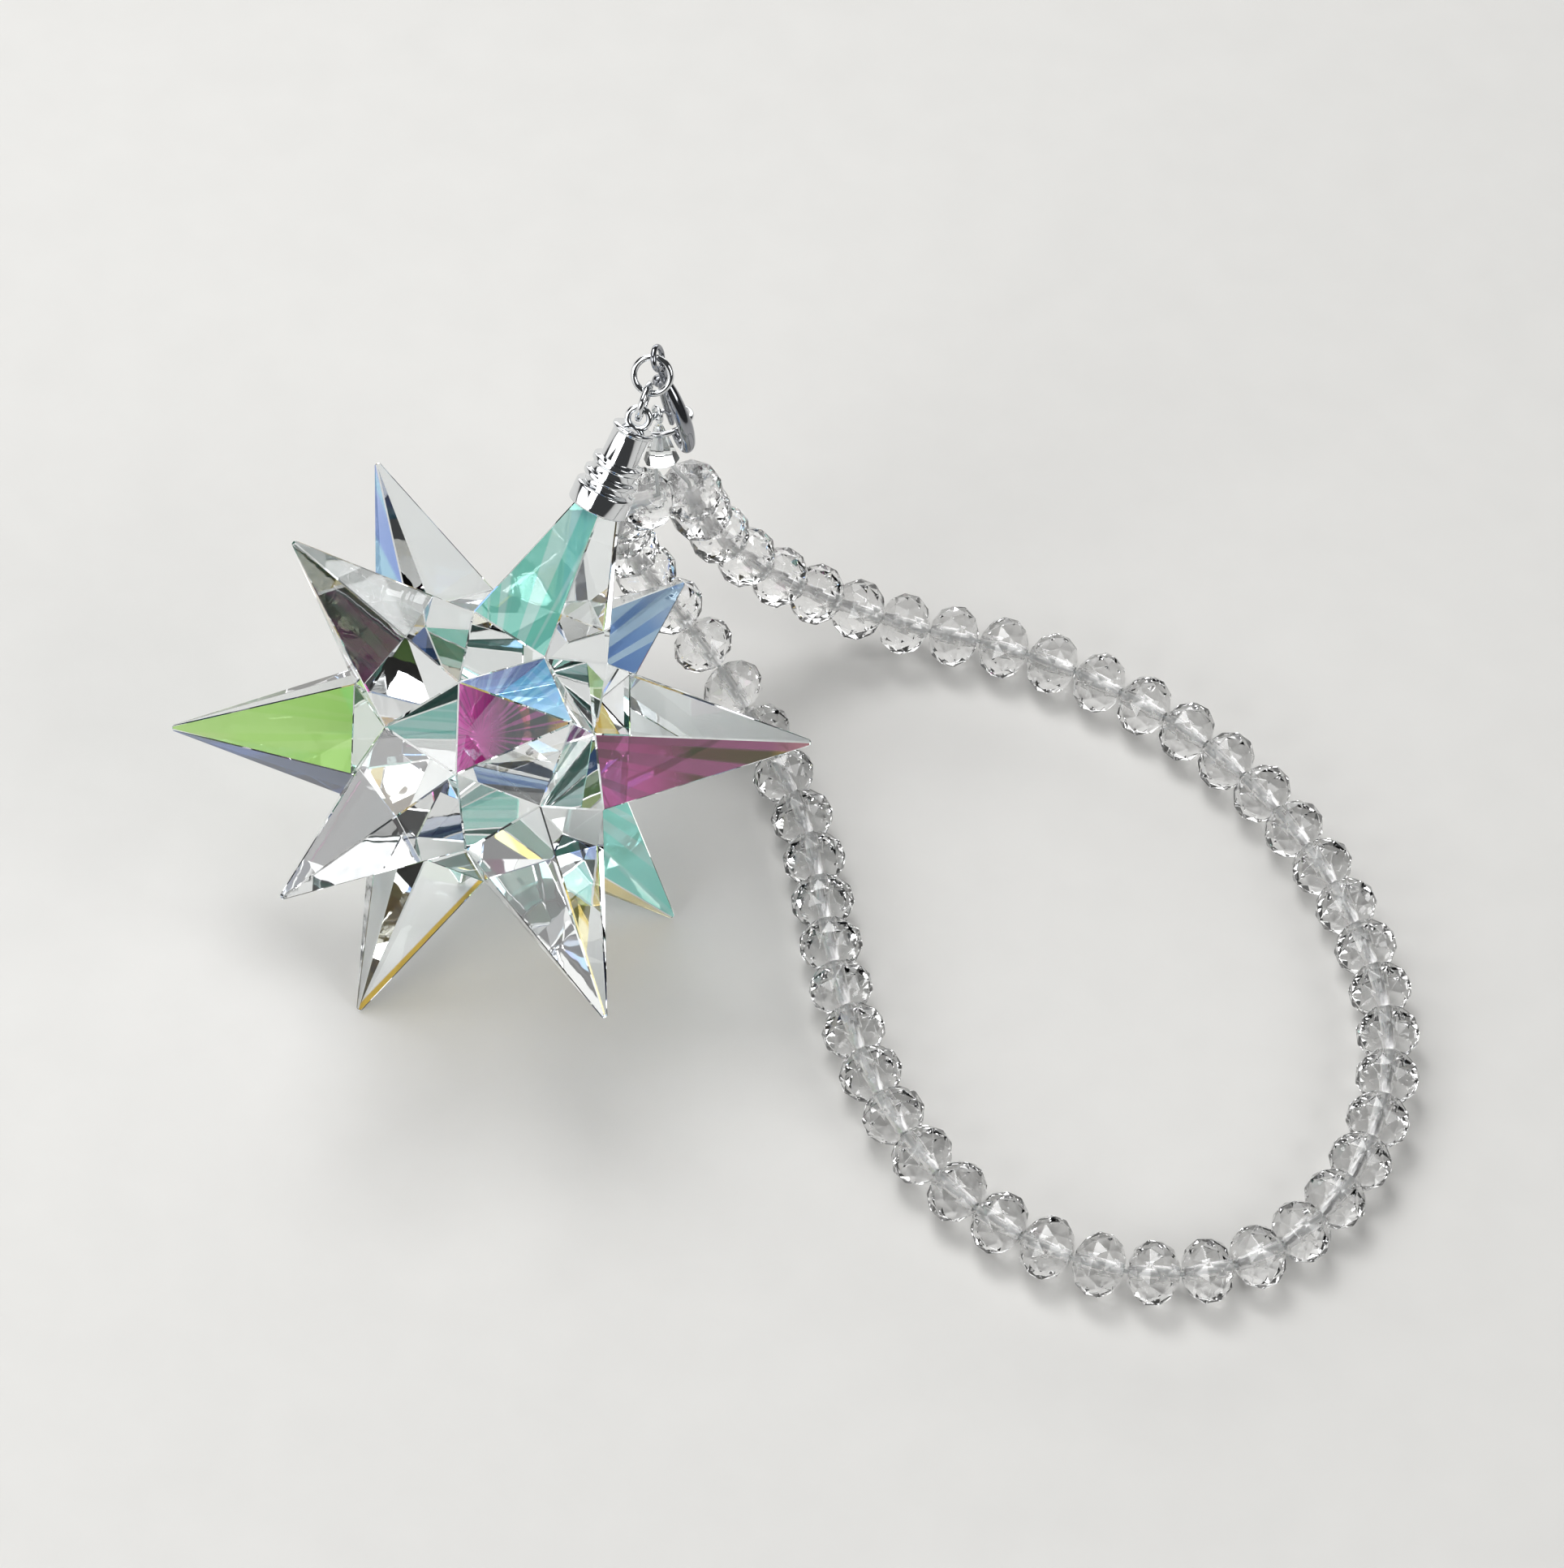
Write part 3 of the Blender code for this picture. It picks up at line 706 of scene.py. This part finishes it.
clasp = {
    "length": 0.0150,
    "width": 0.0048,
    "bar": 0.0017,
    "eye": 0.00135,
    "eyeWire": 0.0007,
    "points": Vector((0.33, -0.18, -0.93)),
    "hook": [
        (0.22, 0, 0.65), (0.40, 0.34, 1.0), (0.66, 0.60, 1.1), (0.86, 0.34, 1.0),
        (0.97, -0.12, 0.9), (1.0, -0.55, 0.8), (0.97, -0.95, 0.7), (0.89, -1.20, 0.55),
    ],
    "leverWire": 0.0011,
    "lever": [(0.30, -0.62, 1.0), (0.45, -0.85, 1.0), (0.62, -1.02, 0.9)],
    "leverTip": (-1.16, 0.6),
    "leverTipSlant": 0.00022,
    "knob": 0.0016,
    "knobPlace": (0.33, -0.66),
    "knobShape": [(0, 0.25), (0.2, 0.45), (0.5, 0.5), (0.8, 0.4), (1.0, 0.2)],
    "knobSoft": 0.0002,
    "knobSides": 32,
    "hold": (0.80, -0.42),
    "smooth": 60,
}

down = clasp["points"].normalized()
across = -squareTo(rings["endPoint"], down)
flat = down.cross(across)
low = clasp["length"] - clasp["bar"] / 2


def claspSpot(along, aside):
    return eye + along * low * down + aside * clasp["width"] / 2 * across


def makeClaspPart(name, node, claspRings, closed=False):
    makeShell(name, claspRings, claspChromePaintedDark, node, clasp["smooth"], closed)


points = [eye + clasp["eye"] * down] + [claspSpot(along, off) for along, off, _ in clasp["hook"]]
widths = [clasp["bar"] * thickness for _, _, thickness in clasp["hook"][:1] + clasp["hook"]]
makeClaspPart("clasp_hook", "clasp_body", barRings(points, widths, flat))
eyeRings = wireRings(eye, squareTo(sideways, down), clasp["eye"], clasp["eyeWire"])
makeClaspPart("clasp_eye", "clasp_body", eyeRings, closed=True)

mouth, _, mouthThickness = clasp["hook"][-1]
shut = mouth * low - mouthThickness * clasp["bar"] / 2 - star["gap"] - clasp["leverTipSlant"]
tipAcross, tipThickness = clasp["leverTip"]
points = [claspSpot(along, off) for along, off, _ in clasp["lever"]] + [claspSpot(shut / low, tipAcross)]
widths = [clasp["leverWire"] * thickness for _, _, thickness in clasp["lever"]]
widths.append(clasp["leverWire"] * tipThickness)
makeClaspPart("clasp_trigger", "clasp_lever", barRings(points, widths, flat))
knob = [(height * clasp["knob"], radius * clasp["knob"]) for height, radius in clasp["knobShape"]]
knob = softCorners(knob, clasp["knobSoft"])
knobRings = turnedRings(claspSpot(*clasp["knobPlace"]), -across, knob, clasp["knobSides"])
makeClaspPart("clasp_knob", "clasp_lever", knobRings)

toCone = squareTo(rings["endPoint"], flat)
hookHold = claspSpot(*clasp["hold"])
endCentre = hookHold + toCone * rings["end"]
makeRing("strand_ring", "end_ring", endCentre, flat.cross(toCone), rings["end"], rings["endWire"])
print("rings and clasp made")


# Cone: clear, moulded, with a wire eye at its point. Both ends of the line go up into it.

cone = {"length": 0.0052, "width": 0.0044, "tip": 0.0012, "edge": 0.0003, "eye": 0.00095, "eyeWire": 0.0005,
        "sides": 10, "soft": 0.00006}

coneEye = hookHold + toCone * 2 * rings["end"]
makeRing("cone_loop", "cone_eye", coneEye, squareTo(flat, coneDown), cone["eye"], cone["eyeWire"], slit=0)
apex = coneEye + coneDown * (cone["eye"] + cone["eyeWire"] / 2 + star["gap"])
profile = [
    (0, (cone["tip"] - cone["edge"]) / 2), (cone["edge"], cone["tip"] / 2),
    (cone["length"] - cone["edge"], cone["width"] / 2), (cone["length"], cone["width"] / 2 - cone["edge"]),
]
shape = bmesh.new()
addShell(shape, turnedRings(apex, coneDown, profile, cone["sides"]))
bmesh.ops.recalc_face_normals(shape, faces=shape.faces)
bmesh.ops.bevel(shape, geom=shape.edges[:], offset=cone["soft"], segments=2, profile=0.5,
                affect="EDGES", clamp_overlap=True, material=-1)
makePiece("crystal_cone", shape, [coneCrystal], "cone")
print("cone is", round((apex + coneDown * cone["length"] - strand["coneBase"]).length * 1000, 3),
      "mm from where the line starts")


# Stage: a pale matte table and soft light

stage = {
    "table": ("#DAD9D6", "#E0DFDC"),
    "tableHalf": 3.0,
    "air": "#B2B4B6",
    "airStrength": 0.12,
    "aim": Vector((0, 0, 0.02)),
    # Each area lamp's place, its width and height, and its power in watts
    "lamps": [
        ("key", (-0.36, 0.10, 0.82), (0.80, 0.80), 4.4),
        ("top", (-0.24, 0.38, 0.82), (0.34, 0.34), 2.2),
        ("front", (-0.51, -0.56, 0.46), (0.36, 0.36), 2.2),
        ("side", (-0.84, -0.40, 0.21), (1.10, 0.34), 1.7),
        ("fill", (0.65, -0.35, 0.55), (0.45, 0.45), 2.3),
        ("back", (-0.05, 0.86, 0.24), (1.20, 0.40), 3.2),
    ],
}

# Painted board, matte: a faint mottle, about 8 mm across
board, tree, shader, place = newMaterial("paintedBoard", {"Roughness": 0.6})
mottle = addNode(tree, "ShaderNodeTexNoise", {"Scale": 120, "Detail": 4}, {"Vector": place})
tone = addNode(tree, "ShaderNodeMix", {"data_type": "RGBA", 6: linear(stage["table"][0]),
                                       7: linear(stage["table"][1])}, {0: mottle.outputs[0]})
tree.links.new(tone.outputs[2], shader.inputs["Base Color"])
shape = bmesh.new()
bmesh.ops.create_grid(shape, x_segments=1, y_segments=1, size=stage["tableHalf"])
table = bpy.data.meshes.new("table")
shape.to_mesh(table)
shape.free()
table.materials.append(board)
floor = bpy.data.objects.new("table", table)
scene.collection.objects.link(floor)

world = bpy.data.worlds.new("studio")
world.use_nodes = True
air = world.node_tree.nodes["Background"].inputs
air["Color"].default_value = linear(stage["air"])
air["Strength"].default_value = stage["airStrength"]
scene.world = world

for name, spot, size, power in stage["lamps"]:
    data = bpy.data.lights.new(name, "AREA")
    data.shape = "RECTANGLE"
    data.size, data.size_y = size
    data.energy = power
    lamp = bpy.data.objects.new(name, data)
    lamp.location = spot
    lamp.rotation_euler = (stage["aim"] - lamp.location).to_track_quat("-Z", "Y").to_euler()
    scene.collection.objects.link(lamp)
print("stage set")
